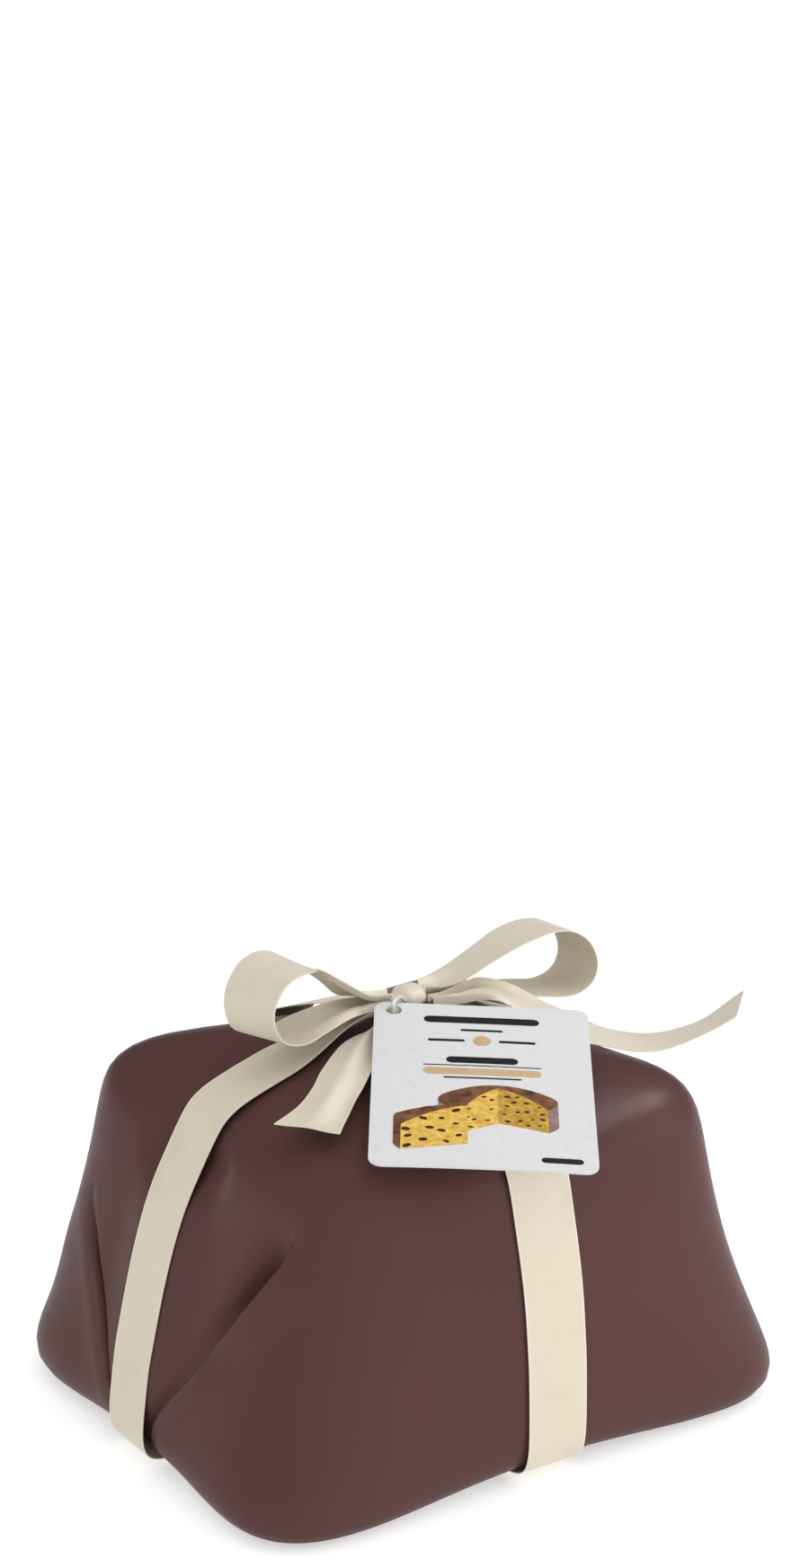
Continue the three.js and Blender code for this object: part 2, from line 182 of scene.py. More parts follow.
def brownPaper(p):
    mat, tree, shader = newFinish("brownWrappingPaper", p["roughness"], p["shine"])
    here = objectPlace(tree)
    cloud = noiseAt(tree, here, p["cloud"], 3.0)
    tree.links.new(rampOf(tree, cloud, [(0.3, p["dark"]), (0.7, p["light"])]), shader.inputs["Base Color"])
    fibre = noiseAt(tree, here, p["fibre"], 3.0, 0.6)
    mottle = noiseAt(tree, here, p["mottle"], 2.0)
    lowest, highest = p["rough"]
    uneven = rampOf(tree, mottle, [(0.25, grey(lowest)), (0.75, grey(highest))])
    tree.links.new(uneven, shader.inputs["Roughness"])
    soft = bumpOn(tree, mottle, 0.10, 0.0006)
    tree.links.new(bumpOn(tree, fibre, 0.10, 0.00012, soft), shader.inputs["Normal"])
    return mat


ribbonLook = {"cream": (0.640, 0.575, 0.460), "shade": (0.600, 0.535, 0.425), "twill": 640.0,
              "roughness": 0.52, "halfWide": 0.0125, "edge": 0.0007}


def creamTwill(r):
    mat, tree, shader = newFinish("creamTwillRibbon", r["roughness"], 0.35)
    lay = addNode(tree, "ShaderNodeUVMap", uv_map="weave")
    twill = addNode(tree, "ShaderNodeTexWave", wave_type="BANDS", bands_direction="DIAGONAL")
    twill.inputs["Scale"].default_value = r["twill"]
    twill.inputs["Distortion"].default_value = 0.0
    tree.links.new(lay.outputs["UV"], twill.inputs["Vector"])
    # a slow change of tone along and across the ribbon, under the twill lines
    tone = noiseAt(tree, lay.outputs["UV"], 70.0, 2.0)
    base = rampOf(tree, tone, [(0.25, r["shade"]), (0.45, r["cream"]), (1.0, r["cream"])])
    lines = rampOf(tree, twill.outputs["Fac"], [(0.0, grey(0.90)), (0.6, grey(1.0))])
    weave = addNode(tree, "ShaderNodeMix", data_type="RGBA", blend_type="MULTIPLY")
    weave.inputs["Factor"].default_value = 1.0
    tree.links.new(base, weave.inputs["A"])
    tree.links.new(lines, weave.inputs["B"])
    # selvedge: the last fraction of a millimetre at each side is a little tighter and paler
    parts = addNode(tree, "ShaderNodeSeparateXYZ")
    tree.links.new(lay.outputs["UV"], parts.inputs["Vector"])
    off = addNode(tree, "ShaderNodeMath", operation="SUBTRACT")
    off.inputs[1].default_value = r["halfWide"]
    tree.links.new(parts.outputs["X"], off.inputs[0])
    away = addNode(tree, "ShaderNodeMath", operation="ABSOLUTE")
    tree.links.new(off.outputs[0], away.inputs[0])
    rim = addNode(tree, "ShaderNodeMapRange")
    rim.inputs["From Min"].default_value = r["halfWide"] - r["edge"]
    rim.inputs["From Max"].default_value = r["halfWide"] - r["edge"] * 0.6
    rim.inputs["To Min"].default_value = 0.0
    rim.inputs["To Max"].default_value = 0.55
    tree.links.new(away.outputs[0], rim.inputs["Value"])
    selvedge = addNode(tree, "ShaderNodeMix", data_type="RGBA")
    tree.links.new(rim.outputs["Result"], selvedge.inputs["Factor"])
    tree.links.new(weave.outputs["Result"], selvedge.inputs["A"])
    selvedge.inputs["B"].default_value = (0.78, 0.71, 0.58, 1.0)
    tree.links.new(selvedge.outputs["Result"], shader.inputs["Base Color"])
    tree.links.new(bumpOn(tree, twill.outputs["Fac"], 0.25, 0.00012), shader.inputs["Normal"])
    shader.inputs["Sheen Weight"].default_value = 0.12
    shader.inputs["Sheen Roughness"].default_value = 0.4
    return mat


def mottledFinish(name, low, high, scale, roughness, bump=0.15, distance=0.0002, detail=3.0, specular=0.4):
    mat, tree, shader = newFinish(name, roughness, specular)
    grain = noiseAt(tree, objectPlace(tree), scale, detail)
    tree.links.new(rampOf(tree, grain, [(0.3, low), (0.7, high)]), shader.inputs["Base Color"])
    tree.links.new(bumpOn(tree, grain, bump, distance), shader.inputs["Normal"])
    return mat


finishes = {
    "paper": brownPaper(paperLook),
    "ribbon": creamTwill(ribbonLook),
    "card": mottledFinish("whiteTagCard", grey(0.58), grey(0.62), 520.0, 0.72, 0.22, 0.00018),
    "cord": mottledFinish("whiteCord", (0.54, 0.54, 0.53), (0.64, 0.64, 0.63), 900.0, 0.45, 0.3, 0.0001),
    "darkInk": mottledFinish("darkInk", (0.010, 0.009, 0.009), (0.018, 0.016, 0.016), 700.0, 0.6,
                             specular=0.12),
    "goldInk": mottledFinish("goldInk", (0.46, 0.32, 0.16), (0.56, 0.40, 0.22), 700.0, 0.5),
    "pictureCrust": mottledFinish("pictureCrust", (0.055, 0.018, 0.008), (0.25, 0.098, 0.040), 230.0, 0.6,
                                  detail=6.0, specular=0.15),
    "pictureCrumb": mottledFinish("pictureCrumb", (0.52, 0.29, 0.030), (0.76, 0.52, 0.110), 420.0, 0.65,
                                  detail=5.0, specular=0.15),
    "pictureCrumbShade": mottledFinish("pictureCrumbShade", (0.34, 0.17, 0.012), (0.58, 0.36, 0.045), 420.0,
                                       0.65, detail=5.0, specular=0.15),
    "pictureFruit": mottledFinish("pictureFruit", (0.022, 0.006, 0.005), (0.10, 0.026, 0.018), 900.0, 0.5,
                                  specular=0.15),
    "pictureCase": mottledFinish("pictureCase", (0.17, 0.09, 0.08), (0.30, 0.185, 0.165), 300.0, 0.6),
    "crust": mottledFinish("bakedCrust", (0.12, 0.038, 0.010), (0.34, 0.135, 0.035), 60.0, 0.62, 0.6,
                           0.0012, 6.0),
    "baking": mottledFinish("bakingPaper", (0.11, 0.052, 0.028), (0.17, 0.085, 0.048), 45.0, 0.7, 0.3,
                            0.0004),
    "gold": mottledFinish("goldFoilCard", (0.50, 0.34, 0.10), (0.62, 0.44, 0.14), 30.0, 0.34, 0.1, 0.0002),
    "tie": mottledFinish("goldTie", (0.45, 0.30, 0.09), (0.60, 0.43, 0.15), 400.0, 0.35),
}


def clearFilm():
    mat, tree, shader = newFinish("clearFoodFilm", 0.12)
    crinkle = noiseAt(tree, objectPlace(tree), 85.0, 4.0)
    tree.links.new(bumpOn(tree, crinkle, 0.5, 0.0012), shader.inputs["Normal"])
    tree.links.new(rampOf(tree, crinkle, [(0.3, (0.86, 0.9, 0.92)), (0.7, (0.94, 0.96, 0.97))]),
                   shader.inputs["Base Color"])
    shader.inputs["Alpha"].default_value = 0.3
    return mat


finishes["film"] = clearFilm()
print("finishes mixed")


# mesh helpers, everything in millimetres until it becomes a mesh
def solidFrom(name, points, faces, finish, creaseAngle=40, weave=None):
    mesh = bpy.data.meshes.new(name)
    mesh.from_pydata((np.asarray(points) * mm).tolist(), [], faces)
    # closed pieces have their faces pointing out
    shell = bmesh.new()
    shell.from_mesh(mesh)
    if shell.calc_volume(signed=True) < 0:
        bmesh.ops.reverse_faces(shell, faces=shell.faces)
        shell.to_mesh(mesh)
    shell.free()
    mesh.materials.append(finishes[finish])
    for polygon in mesh.polygons:
        polygon.use_smooth = True
    if weave is not None:
        layer = mesh.uv_layers.new(name="weave")
        corner = np.zeros(len(mesh.loops), dtype=np.int64)
        mesh.loops.foreach_get("vertex_index", corner)
        layer.data.foreach_set("uv", (np.asarray(weave)[corner] * mm).ravel())
    mesh.update()
    mesh.set_sharp_from_angle(angle=math.radians(creaseAngle))
    piece = bpy.data.objects.new(name, mesh)
    bpy.context.scene.collection.objects.link(piece)
    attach(piece, "root")
    return piece


def ringFaces(rings, around, loop=False, capStart=False, capEnd=False):
    faces = []
    for i in range(rings if loop else rings - 1):
        a = i * around
        b = ((i + 1) % rings) * around
        for j in range(around):
            k = (j + 1) % around
            faces.append((a + j, b + j, b + k, a + k))
    if capStart:
        faces.append(tuple(range(around)))
    if capEnd:
        last = (rings - 1) * around
        faces.append(tuple(range(last + around - 1, last - 1, -1)))
    return faces


def smooth(a, b, v):
    k = np.clip((np.asarray(v, float) - a) / (b - a), 0, 1)
    return k * k * (3 - 2 * k)


def bSpline(rows, t):
    rows = np.asarray(rows, float)
    last = len(rows) - 1
    before = rows[1].copy()
    before[1:] = 2 * rows[0][1:] - rows[1][1:]
    after = 2 * rows[last] - rows[last - 1]
    ctrl = np.vstack([before, rows, after])
    u = np.clip(np.asarray(t, float), 0, 1 - 1e-9) * last
    i = np.floor(u).astype(int)
    f = (u - i)[:, None]
    return ((1 - f) ** 3 * ctrl[i] + (3 * f ** 3 - 6 * f * f + 4) * ctrl[i + 1]
            + (-3 * f ** 3 + 3 * f * f + 3 * f + 1) * ctrl[i + 2] + f ** 3 * ctrl[i + 3]) / 6


def throughPoints(rows, perRow):
    # Catmull-Rom through every row, all columns at once
    rows = np.asarray(rows, float)
    ctrl = np.vstack([2 * rows[0] - rows[1], rows, 2 * rows[-1] - rows[-2]])
    out = []
    for i in range(1, len(ctrl) - 2):
        for k in range(perRow):
            t = k / perRow
            a, b, c, d = ctrl[i - 1:i + 3]
            out.append(0.5 * (2 * b + (c - a) * t + (2 * a - 5 * b + 4 * c - d) * t * t
                              + (3 * b - a - 3 * c + d) * t ** 3))
    out.append(ctrl[-2])
    return np.array(out)


# straps, distance out from the middle and height, from the knot to the middle underneath
straps = {
    "overFront": [
        (0, 146), (9, 146), (17, 146.8), (27, 145.4), (38, 142.1), (50, 137.9), (61, 133.9), (70, 130.2),
        (79, 126.2), (87.2, 117.2), (90.1, 102.5), (94.3, 80), (97.7, 54), (100.2, 30), (101.6, 15),
        (99.5, 6.5), (94, 2.6), (80, 1), (60, 0.3), (0, 0.3),
    ],
    "overEnd": [
        (8.2, 148), (17, 147.9), (28, 145.3), (38, 141.4), (48, 137.7), (58, 134.3), (67, 131.2),
        (74, 128.2), (78.7, 124.8), (81.7, 121), (84.8, 116), (88.2, 110), (91.6, 104), (95, 97),
        (97.8, 90), (101, 80), (105, 65), (108.8, 50), (112.8, 33), (117, 20), (119.3, 11),
        (117.5, 3.6), (111, 1.6), (98, 1.25), (70, 1.25), (0, 1.25),
    ],
    "steps": 170,
    "paperGap": 0.9,
}


# wrapping paper
paper = {
    # height, half length, half width, squareness, corner out, corner up, lift at mid sides
    "rings": [
        (143, 0.01, 0.01, 2.2, 0, 0, 0),
        (143, 14, 14, 2.2, 0, 0, 0),
        (139, 36, 35, 3.0, 0, 0, 0),
        (132.5, 58, 56, 3.6, 0, 2, 0),
        (125, 76, 74, 4.4, 0, 6, 0),
        (117, 88, 86, 5.0, 0, 7, 0),
        (102, 92, 89, 5.4, -1, 3, 0),
        (80, 97.5, 93, 5.6, -2, 0, 0),
        (54, 105, 96.5, 5.8, -2, 0, 0),
        (30, 111.5, 99, 6.0, 1.6, 0, 0.5),
        (12, 116.5, 100, 6.2, 5.2, 0, 2.0),
        (0.2, 113, 95, 6.2, 6.4, 0, 5.2),
        (-1.2, 101, 85, 6.0, 2.2, 0, 4.1),
        (2.6, 80, 66, 5.0, 0, 0, 0.4),
        (2.9, 46, 36, 5.0, 0, 0, 0),
    ],
    "thick": 0.4,
    "toCrease": 44,      # columns from the middle of an end to its crease, then on to the corner
    "toCorner": 44,
    "sideColumns": 60,
    "bunching": 1.45,    # how closely columns crowd up to a crease
    "cornerShare": 0.9615,
    "press": {"deep": 5.6, "at": 113, "tall": 12, "wide": 24},   # where the tight strap dents the shoulder
}

# the folded ends: crease as height and distance out from the middle, then the hollow beside it:
# how deep, at what height, how tall, how wide, how far from the lip, and where it all fades out
endFolds = {
    "nearFront": {"crease": [(0, 9), (10, 10), (18, 11.2), (26, 15), (36, 24), (46, 31.5), (55, 36.5),
                             (63, 42.5), (75, 50.5), (85, 57.5), (95, 63.5), (105, 67), (145, 68)],
                  "deep": 8.4, "at": 80, "tall": 18, "wide": 6.0, "inward": 2.6, "top": 108, "low": 0.9,
                  "lip": 4.2, "sunk": 1.2},
    "nearBack": {"crease": [(0, 9), (12, 12), (22, 20), (30, 27), (39, 33.5), (46, 38.5), (53, 44),
                            (61, 51), (75, 59), (90, 64), (145, 67)],
                 "deep": 3.0, "at": 49, "tall": 14, "wide": 2.2, "inward": 0.4, "top": 76, "low": 1.2,
                 "lip": 1.0, "sunk": 0.7},
    "farFront": {"crease": [(0, 8), (14, 13), (26, 22), (38, 31.5), (50, 40), (62, 47), (75, 54), (88, 60),
                            (145, 64)],
                 "deep": 3.6, "at": 53, "tall": 15, "wide": 2.8, "inward": 0.6, "top": 80, "low": 1.3,
                 "lip": 1.2, "sunk": 0.9},
    "farBack": {"crease": [(0, 8), (12, 10), (22, 14.5), (34, 22.5), (46, 31), (58, 39), (70, 47),
                           (82, 54.5), (94, 61), (145, 65)],
                "deep": 7.0, "at": 75, "tall": 17, "wide": 5.0, "inward": 2.4, "top": 102, "low": 1.4,
                "lip": 1.5, "sunk": 1.4},
}


def creaseAt(fold, z, a):
    line = bSpline(fold["crease"], np.linspace(0, 1, 90))
    free = np.interp(z, line[:, 0], line[:, 1])
    room = 0.8 * np.maximum(a, 1)
    return (free ** -10.0 + room ** -10.0) ** -0.1


def foldShape(fold, y, z, a):
    # y counted outwards from the middle of the end; gives depth and sideways slide
    s = y - creaseAt(fold, z, a)
    low = smooth(3, 10, z)
    high = smooth(fold["top"] + 8, fold["top"] - 14, z)
    hollow = fold["deep"] * np.exp(-((z - fold["at"]) / fold["tall"]) ** 2)
    hollow = hollow * smooth(fold["top"] + 8, fold["top"] - 12, z)
    valley = fold["low"] * low * smooth(70, 20, z) + 0.9 * low * high
    lip = fold["lip"] + 6.0 * smooth(fold["top"] - 20, fold["top"] + 4, z)
    wide = fold["wide"] * (0.8 + 0.6 * smooth(fold["at"] - 10, fold["top"], z))
    recess = fold["sunk"] * smooth(fold["top"] + 8, fold["top"] - 28, z) * smooth(1, 16, z)
    wall = 1 - smooth(0, 1, s / lip)
    inside = np.minimum(s, 0)
    well = (recess + valley * np.exp(-(inside / fold["wide"]) ** 2)
            + hollow * np.exp(-((inside + fold["inward"]) / wide) ** 2))
    bulge = 0.8 * np.exp(-((s - lip - 6) / 7) ** 2) * low * high
    lean = (0.7 + 2.0 * np.exp(-((z - fold["at"]) / 20) ** 2)) * low * high
    slide = lean * (0.6 * np.exp(-(s / lip) ** 2) - np.exp(-((s - lip) / (lip * 1.2)) ** 2))
    return well * wall - bulge, slide


def endDepth(y, z, a, front, back):
    depthFront, slideFront = foldShape(endFolds[front], np.abs(y), z, a)
    depthBack, slideBack = foldShape(endFolds[back], np.abs(y), z, a)
    isFront = y < 0
    return np.where(isFront, depthFront, depthBack), np.where(isFront, -slideFront, slideBack)


def againstStrap(x, y, z, a):
    line = bSpline(straps["overEnd"], np.linspace(0, 1, straps["steps"]))
    line = line[(line[:, 0] > 75) & (line[:, 1] > 12)][::-1]
    under = np.sign(x) * (np.interp(z, line[:, 1], line[:, 0]) - straps["paperGap"])
    nearFront, nearBack, farFront, farBack = (creaseAt(endFolds[k], z, a)
                                              for k in ("nearFront", "nearBack", "farFront", "farBack"))
    crease = np.where(x < 0, np.where(y < 0, nearFront, nearBack), np.where(y < 0, farFront, farBack))
    middle = np.where(x < 0, 4.5, 0.0)
    pull = (smooth(12, 24, z) * smooth(116, 104, z) * np.exp(-((y - middle) / 22) ** 4)
            * smooth(0.5, -5, np.abs(y) - crease) * smooth(60, 78, np.abs(x)))
    return pull * (under - x)


def softPleat(y, z, at, lean, long, deep):
    # a shallow pleat running up and outwards over a folded corner
    along = (y - at[0]) * math.cos(lean) + (z - at[1]) * math.sin(lean)
    over = -(y - at[0]) * math.sin(lean) + (z - at[1]) * math.cos(lean)
    cut = np.where(over > 0, np.exp(-(over / 7.0) ** 2), np.exp(-(over / 2.6) ** 2))
    return deep * cut * smooth(-3, 8, along) * smooth(long, long * 0.4, along)


def columnAngles(z, a):
    # columns follow the creases on the two ends, so a crease is always one clean edge
    k = np.linspace(0, 1, paper["toCrease"], endpoint=False)
    inner = 1 - (1 - k) ** paper["bunching"]
    k = np.linspace(0, 1, paper["toCorner"], endpoint=False)
    outer = k ** paper["bunching"]
    edge = paper["cornerShare"] * a
    sides = np.linspace(-1, 1, paper["sideColumns"], endpoint=False)[None, :]

    def halfEnd(fold):
        c = creaseAt(endFolds[fold], z, a)
        return np.concatenate([c * inner[None, :], c + (edge - c) * outer[None, :]], axis=1)

    def wholeEnd(first, second):
        one = halfEnd(first)
        two = halfEnd(second)
        flipped = np.concatenate([edge, one[:, :0:-1]], axis=1)
        return np.arctan2(np.concatenate([-flipped, two], axis=1), a)

    right = wholeEnd("farFront", "farBack")
    left = wholeEnd("nearBack", "nearFront") + np.pi
    top = np.pi / 2 + np.arctan(sides / paper["cornerShare"]) + 0 * z
    return np.concatenate([right, top, left, top + np.pi], axis=1)


def paperSkin(t):
    row = bSpline(paper["rings"], t)
    z, a, b, n, out, up, lift = (row[:, k][:, None] for k in range(7))
    a = np.maximum(a, 0.01)
    b = np.maximum(b, 0.01)
    phi = columnAngles(z, a)
    c = np.cos(phi)
    s = np.sin(phi)
    r = (np.abs(c / a) ** n + np.abs(s / b) ** n) ** (-1 / n)
    toCorner = np.arctan2(np.abs(s), np.abs(c)) - np.arctan2(b, a)
    near = np.exp(-(toCorner / 0.33) ** 2)
    wide = np.exp(-(toCorner / 0.5) ** 2)
    r = r + out * near
    # the far left corner is a little fuller than the others
    r = r + np.where((c < 0) & (s > 0), 3.2 * near * smooth(130, 112, z) * smooth(25, 60, z), 0)
    x = r * c
    y = r * s
    h = np.maximum(0, z + up * near + lift * (1 - wide))
    # the ends are folded in: two corner lobes over a sunk panel
    onEnd = smooth(72, 92, np.abs(x))
    dNear, sNear = endDepth(y, h, a, "nearFront", "nearBack")
    dFar, sFar = endDepth(y, h, a, "farFront", "farBack")
    dNear = dNear + softPleat(-y, h, (38, 44), 0.6, 38, 2.0)
    dFar = dFar + softPleat(y, h, (24, 30), 0.6, 40, 1.3)
    left = x < 0
    x = x + onEnd * np.where(left, dNear, -dFar)
    y = y + onEnd * np.where(left, sNear, sFar)
    # the middle panel lies up against the strap, and the tight strap presses the shoulder in
    x = x + againstStrap(x, y, h, a)
    dent = paper["press"]
    press = dent["deep"] * np.exp(-((h - dent["at"]) / dent["tall"]) ** 2 - (y / dent["wide"]) ** 4)
    x = x - np.sign(x) * (press * smooth(55, 85, np.abs(x)))
    # slow, slight unevenness of hand-folded paper
    wave = (0.35 * np.sin(x / 23.0 + 1.3) * np.sin(h / 17.0 + y / 31.0)
            + 0.25 * np.sin(y / 19.0 + 0.4) * np.sin(h / 29.0 - x / 27.0 + 2.0))
    swell = wave * smooth(4, 30, h) * smooth(0.02, 0.2, t)[:, None]
    reach = np.hypot(x, y) + 1e-6
    x = x + swell * x / reach
    y = y + swell * y / reach
    return np.stack([x, y, h], axis=-1)


def wrapTheParcel():
    outer = np.concatenate([np.linspace(0.012, 0.30, 30, endpoint=False),
                            np.linspace(0.30, 0.715, 96, endpoint=False),
                            np.linspace(0.715, 0.86, 26, endpoint=False), np.linspace(0.86, 1.0, 8)])
    inner = np.concatenate([np.linspace(1.0, 0.72, 10, endpoint=False),
                            np.linspace(0.72, 0.30, 24, endpoint=False), np.linspace(0.30, 0.012, 10)])
    skin = paperSkin(outer)
    lining = paperSkin(inner)
    down = np.gradient(lining, axis=0)
    round_ = np.roll(lining, -1, axis=1) - np.roll(lining, 1, axis=1)
    normal = np.cross(round_, down)
    normal /= np.linalg.norm(normal, axis=-1, keepdims=True) + 1e-9
    normal[-3:] = (0, 0, -1)
    lining = lining + normal * paper["thick"]
    both = np.concatenate([skin, lining], axis=0)
    around = both.shape[1]
    faces = ringFaces(len(both), around)
    points = np.vstack([both.reshape(-1, 3), both[0].mean(axis=0), both[-1].mean(axis=0)])
    top = len(points) - 2
    low = len(points) - 1
    last = (len(both) - 1) * around
    for j in range(around):
        k = (j + 1) % around
        faces.append((top, j, k))
        faces.append((low, last + k, last + j))
    piece = solidFrom("foldedPaper", points, faces, "paper", creaseAngle=75)
    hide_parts("wrapping_paper")


wrapTheParcel()
print("paper folded")

# ribbon, shared by the straps and the bow
ribbon = {"wide": 25.0, "thick": 0.36, "across": 21, "pleatDepth": 1.8}
knot = {"at": (4.0, 3.0, 151.5), "long": 7.4, "deep": 6.5, "tall": 4.5}


def layRibbon(name, mids, dirs, wides, node, loop=False, pleats=1.5, phase=0.4, pinch=1.0):
    mids = np.asarray(mids, float)
    dirs = np.asarray(dirs, float)
    dirs = dirs / np.linalg.norm(dirs, axis=1, keepdims=True)
    wides = np.asarray(wides, float)
    if loop:
        tangent = np.roll(mids, -1, axis=0) - np.roll(mids, 1, axis=0)
    else:
        tangent = np.gradient(mids, axis=0)
    tangent /= np.linalg.norm(tangent, axis=1, keepdims=True)
    out = np.cross(tangent, dirs)
    out /= np.linalg.norm(out, axis=1, keepdims=True)
    v = np.linspace(-0.5, 0.5, ribbon["across"])
    v = np.concatenate([[-0.5], v[1:-1] * 0.985, [0.5]])
    tight = np.sqrt(np.clip(1 - (np.minimum(wides, ribbon["wide"]) / ribbon["wide"]) ** 2, 0, 1))
    deep = ribbon["pleatDepth"] * pinch * tight ** 2
    wave = np.cos(2 * np.pi * (pleats * v + phase)) + 0.3 * np.cos(2 * np.pi * (pleats * 1.9 * v - phase))
    wave = wave[None, :] + 0.55 * tight[:, None] ** 6 * np.cos(2 * np.pi * (3.4 * v + phase))[None, :]
    middle = (mids[:, None, :] + dirs[:, None, :] * (v[None, :, None] * wides[:, None, None])
              + out[:, None, :] * (deep[:, None, None] * wave[:, :, None]))
    half = ribbon["thick"] / 2
    upper = middle + out[:, None, :] * half
    lower = middle - out[:, None, :] * half
    rings = np.concatenate([upper, lower[:, ::-1]], axis=1)
    step = np.linalg.norm(np.diff(mids, axis=0), axis=1)
    run = np.concatenate([[0], np.cumsum(step)])
    u = np.concatenate([(v + 0.5), (v + 0.5)[::-1]]) * ribbon["wide"]
    weave = np.stack(np.broadcast_arrays(u[None, :], run[:, None]), axis=-1)
    faces = ringFaces(len(mids), rings.shape[1], loop, not loop, not loop)
    points = rings.reshape(-1, 3)
    piece = solidFrom(name, points, faces, "ribbon", weave=weave.reshape(-1, 2))
    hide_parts(node)
    return piece


def frontDrift(z):
    return -2.5 * smooth(62, 126, z) * smooth(146, 130, z) + 1.2 * smooth(10, 50, z)


def sideDrift(z):
    return 6 * smooth(6, 40, z) - 2 * smooth(60, 110, z)


def tieFrontToBack():
    half = bSpline(straps["overFront"], np.linspace(0, 1, straps["steps"]))
    d, z = half[:, 0], half[:, 1]
    front = np.stack([frontDrift(z), -d, z], axis=1)
    back = np.stack([0 * d, d, z], axis=1)[1:-1][::-1]
    mids = np.concatenate([front, back])
    near = smooth(45, 8, np.abs(mids[:, 1])) * smooth(60, 120, mids[:, 2])
    dirs = np.tile((1.0, 0, 0), (len(mids), 1))
    layRibbon("strapFrontToBack", mids, dirs, ribbon["wide"] - 13 * near, "ribbon_front_to_back",
              loop=True, pleats=1.5, phase=0.3, pinch=0.7)


def tieSideToSide():
    half = bSpline(straps["overEnd"], np.linspace(0, 1, straps["steps"]))
    d, z = half[:, 0], half[:, 1]
    kx = knot["at"][0] * smooth(60, 5, d)
    left = np.stack([kx - d, sideDrift(z), z], axis=1)
    right = np.stack([kx + d, 3 * smooth(120, 140, z), z], axis=1)[:-1][::-1]
    mids = np.concatenate([left, right])
    near = smooth(52, 10, np.abs(mids[:, 0])) * smooth(60, 120, mids[:, 2])
    tip = np.where(mids[:, 0] > 0, -0.3 * near * (1 - near), 0)
    dirs = np.stack([0 * tip, 1 + 0 * tip, tip], axis=1)
    layRibbon("strapSideToSide", mids, dirs, ribbon["wide"] - 15 * near, "ribbon_side_to_side",
              pleats=1.4, phase=0.15, pinch=0.8)


tieFrontToBack()
tieSideToSide()
print("straps tied")

